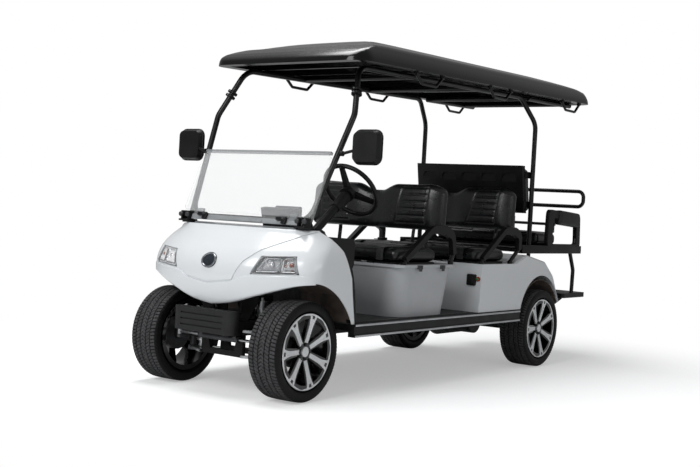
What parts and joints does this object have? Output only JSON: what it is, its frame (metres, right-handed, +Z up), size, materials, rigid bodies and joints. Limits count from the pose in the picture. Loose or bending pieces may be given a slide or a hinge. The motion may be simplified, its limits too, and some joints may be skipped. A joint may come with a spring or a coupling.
{
  "type": "golf cart",
  "caption": "Electric golf cart with two forward benches, a rear-facing flip seat, folding windscreen, long roof and steered front wheels",
  "frame": {"origin": "on the ground under the centre of the overall length and width", "axes": "+X forward, +Y to the vehicle's left, +Z up"},
  "size_m": [3.65, 1.438, 1.9929],
  "materials": {
    "white_body": "gloss moulded body, white",
    "grey_base": "moulded seat base, light grey",
    "black_roof": "thermoformed roof, black",
    "black_plastic": "textured moulding, black",
    "black_vinyl": "stitched vinyl seat cover",
    "frame_paint": "powder-coated steel, black",
    "strut_paint": "powder-coated tube, black",
    "bare_steel": "plated steel",
    "rubber_tread": "tyre rubber",
    "rim_alloy": "machined alloy",
    "lamp_lens": "clear lamp lens",
    "red_lens": "red lamp lens",
    "clear_screen": "clear windscreen sheet",
    "liner": "arch liner",
    "motor_case": "motor and axle casting",
    "battery_case": "battery case",
    "floor_mat": "ribbed floor mat"
  },
  "bodies": {
    "chassis": {"chassis_frame": "frame_paint", "front_cradle": "frame_paint", "roof_ribs": "black_roof", "front_bumper": "black_plastic", "front_arms": "bare_steel", "front_coil_overs": "bare_steel", "steering_rack": "motor_case", "rear_axle": "motor_case", "drive_motor": "motor_case", "rear_springs": "frame_paint", "floor": "floor_mat", "sills": "black_plastic", "battery_pack": "battery_case", "front_body": "white_body", "headlamps": "lamp_lens", "hood_panel": "white_body", "wheel_liners": "liner", "rear_body": "white_body", "front_seat_base": "grey_base", "dashboard": "black_plastic", "steering_column": "black_plastic", "pedals": "frame_paint", "front_roof_struts": "strut_paint", "rear_roof_struts": "strut_paint", "roof": "black_roof", "roof_handles": "strut_paint", "windscreen_lower": "clear_screen", "windscreen_upper": "clear_screen", "windscreen_fittings": "black_plastic", "front_seat_back": "black_vinyl", "second_seat_back": "black_vinyl", "seat_lid_hinges": "bare_steel", "seat_back_frames": "strut_paint", "armrests": "strut_paint", "rear_seat_frame": "strut_paint", "rear_back_shell": "black_plastic", "rear_seat_back": "black_vinyl", "foot_platform": "black_plastic", "rear_grab_bar": "strut_paint", "tail_lamps": "red_lens", "mirrors": "black_plastic"},
    "left_knuckle": {"knuckle_left": "motor_case"},
    "right_knuckle": {"knuckle_right": "motor_case"},
    "tie_rod": {"tie_rods": "bare_steel"},
    "steering_wheel": {"steering_wheel": "black_plastic"},
    "front_left_wheel": {"rim_front_left": "rim_alloy", "tyre_front_left": "rubber_tread"},
    "front_right_wheel": {"rim_front_right": "rim_alloy", "tyre_front_right": "rubber_tread"},
    "rear_left_wheel": {"rim_rear_left": "rim_alloy", "tyre_rear_left": "rubber_tread"},
    "rear_right_wheel": {"rim_rear_right": "rim_alloy", "tyre_rear_right": "rubber_tread"},
    "front_lid": {"front_seat_cushion": "black_vinyl", "front_seat_board": "black_plastic"},
    "second_lid": {"second_seat_cushion": "black_vinyl", "second_seat_board": "black_plastic"},
    "rear_flip_seat": {"rear_seat_cushion": "black_vinyl", "rear_seat_board": "black_plastic"}
  },
  "joints": [
    {"name": "left_steer", "type": "hinge", "parent": "chassis", "child": "left_knuckle", "pos_m": [1.565, 0.29, 0.26], "axis": [0, 0, 1], "range_deg": [-26, 26]},
    {"name": "right_steer", "type": "hinge", "parent": "chassis", "child": "right_knuckle", "pos_m": [1.565, -0.29, 0.26], "axis": [0, 0, 1], "range_deg": [-26, 26]},
    {"name": "tie_rod_slide", "type": "slide", "parent": "chassis", "child": "tie_rod", "axis": [0, 1, 0], "range_m": [-0.05, 0.05]},
    {"name": "steering_wheel_turn", "type": "hinge", "parent": "chassis", "child": "steering_wheel", "pos_m": [0.945, 0.27, 1.104], "axis": [-0.7934, 0, 0.6088], "range_deg": [-312, 312]},
    {"name": "front_left_spin", "type": "hinge", "parent": "left_knuckle", "child": "front_left_wheel", "pos_m": [1.565, 0.418, 0.26], "axis": [0, 1, 0], "continuous": true},
    {"name": "front_right_spin", "type": "hinge", "parent": "right_knuckle", "child": "front_right_wheel", "pos_m": [1.565, -0.418, 0.26], "axis": [0, 1, 0], "continuous": true},
    {"name": "rear_left_spin", "type": "hinge", "parent": "chassis", "child": "rear_left_wheel", "pos_m": [-0.885, 0.505, 0.26], "axis": [0, 1, 0], "continuous": true},
    {"name": "rear_right_spin", "type": "hinge", "parent": "chassis", "child": "rear_right_wheel", "pos_m": [-0.885, -0.505, 0.26], "axis": [0, 1, 0], "continuous": true},
    {"name": "front_lid_tilt", "type": "hinge", "parent": "chassis", "child": "front_lid", "pos_m": [0.817, 0, 0.7055], "axis": [0, 1, 0], "range_deg": [0, 55]},
    {"name": "second_lid_tilt", "type": "hinge", "parent": "chassis", "child": "second_lid", "pos_m": [-0.075, 0, 0.7055], "axis": [0, 1, 0], "range_deg": [0, 75]},
    {"name": "rear_seat_flip", "type": "hinge", "parent": "chassis", "child": "rear_flip_seat", "pos_m": [-1.436, 0, 0.8065], "axis": [0, -1, 0], "range_deg": [0, 180]}
  ],
  "couplings": [
    {"joint": "right_steer", "follows": "left_steer", "ratio": 1},
    {"joint": "tie_rod_slide", "follows": "left_steer", "m_per_rad": 0.11},
    {"joint": "steering_wheel_turn", "follows": "left_steer", "ratio": 12}
  ]
}
